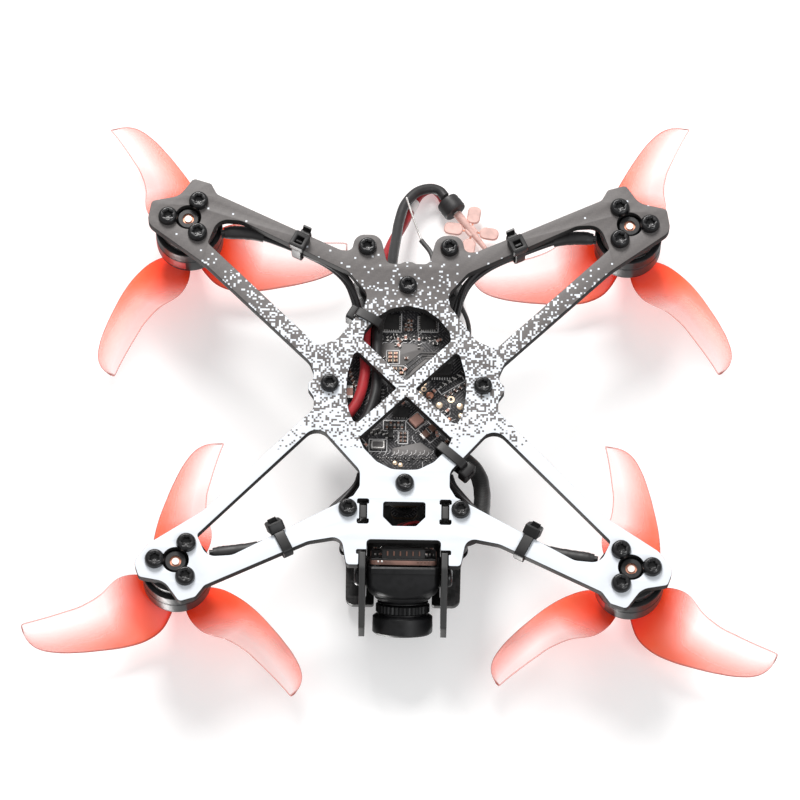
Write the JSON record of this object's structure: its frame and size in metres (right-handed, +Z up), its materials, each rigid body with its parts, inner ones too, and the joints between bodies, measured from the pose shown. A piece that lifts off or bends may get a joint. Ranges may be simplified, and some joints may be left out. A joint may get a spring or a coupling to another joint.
{
  "type": "fpv racing drone",
  "caption": "Small X-frame racing quadcopter with twin-strut carbon arms, three-blade propellers, tilting nose camera, open centre with circuit boards, battery lead and aerials.",
  "frame": {"origin": "underside of the bottom plate, where the bars of its X web cross", "axes": "+Z up (thrust), the camera looks along -Y, +X is the drone's left side"},
  "size_m": [0.1484, 0.1255, 0.0246],
  "materials": {
    "printed_plate": "carbon plate, white to dark pixel print, dark cut edges",
    "carbon": "black carbon plate, satin",
    "standoff": "black anodised",
    "screw": "black oxide button head",
    "circuit_board": "dark solder mask",
    "stator": "laminations with copper windings",
    "motor_bell": "black anodised with a faded red band",
    "propeller": "translucent red, paler towards the tips",
    "camera": "black moulded",
    "lens": "black barrel, glass front",
    "wire_black": "black silicone",
    "wire_red": "red silicone",
    "antenna": "pale coppery"
  },
  "bodies": {
    "frame": {"bottom_plate": "printed_plate", "top_plate": "carbon", "side_plate_left": "carbon", "side_plate_right": "carbon", "standoff_rear_left": "standoff", "plate_screw_rear_left": "screw", "top_screw_rear_left": "screw", "standoff_rear_right": "standoff", "plate_screw_rear_right": "screw", "top_screw_rear_right": "screw", "standoff_front_left": "standoff", "plate_screw_front_left": "screw", "top_screw_front_left": "screw", "standoff_front_right": "standoff", "plate_screw_front_right": "screw", "top_screw_front_right": "screw", "board_screw_left": "screw", "board_screw_right": "screw", "board_screw_rear": "screw", "board_screw_front": "screw", "flight_controller": "circuit_board", "video_transmitter": "circuit_board", "motor_base_front_left": "stator", "motor_screw_front_left_1": "screw", "motor_screw_front_left_2": "screw", "motor_screw_front_left_3": "screw", "motor_wires_front_left": "wire_black", "motor_base_front_right": "stator", "motor_screw_front_right_1": "screw", "motor_screw_front_right_2": "screw", "motor_screw_front_right_3": "screw", "motor_wires_front_right": "wire_black", "motor_base_rear_left": "stator", "motor_screw_rear_left_1": "screw", "motor_screw_rear_left_2": "screw", "motor_screw_rear_left_3": "screw", "motor_wires_rear_left": "wire_black", "motor_base_rear_right": "stator", "motor_screw_rear_right_1": "screw", "motor_screw_rear_right_2": "screw", "motor_screw_rear_right_3": "screw", "motor_wires_rear_right": "wire_black", "battery_lead_black": "wire_black", "battery_lead_red": "wire_red", "battery_plug": "wire_black", "video_antenna": "antenna", "receiver_antenna": "wire_black", "camera_cable": "wire_black"},
    "rotor_front_left": {"motor_bell_front_left": "motor_bell", "propeller_front_left": "propeller"},
    "rotor_front_right": {"motor_bell_front_right": "motor_bell", "propeller_front_right": "propeller"},
    "rotor_rear_left": {"motor_bell_rear_left": "motor_bell", "propeller_rear_left": "propeller"},
    "rotor_rear_right": {"motor_bell_rear_right": "motor_bell", "propeller_rear_right": "propeller"},
    "camera": {"camera_body": "camera", "camera_screw_left": "screw", "camera_screw_right": "screw"},
    "lens": {"camera_lens": "lens"}
  },
  "joints": [
    {"name": "spin_front_left", "type": "hinge", "parent": "frame", "child": "rotor_front_left", "pos_m": [0.0442, -0.0367, 0.0122], "axis": [0, 0, 1], "continuous": true},
    {"name": "spin_front_right", "type": "hinge", "parent": "frame", "child": "rotor_front_right", "pos_m": [-0.0442, -0.0367, 0.0122], "axis": [0, 0, 1], "continuous": true},
    {"name": "spin_rear_left", "type": "hinge", "parent": "frame", "child": "rotor_rear_left", "pos_m": [0.0442, 0.0367, 0.0122], "axis": [0, 0, 1], "continuous": true},
    {"name": "spin_rear_right", "type": "hinge", "parent": "frame", "child": "rotor_rear_right", "pos_m": [-0.0442, 0.0367, 0.0122], "axis": [0, 0, 1], "continuous": true},
    {"name": "camera_tilt", "type": "hinge", "parent": "frame", "child": "camera", "pos_m": [0, -0.0355, 0.0105], "axis": [-1, 0, 0], "range_deg": [-30, 10]},
    {"name": "lens_focus", "type": "hinge", "parent": "camera", "child": "lens", "pos_m": [0, -0.0355, 0.0105], "axis": [0, -0.866, 0.5], "range_deg": [-180, 180]}
  ]
}
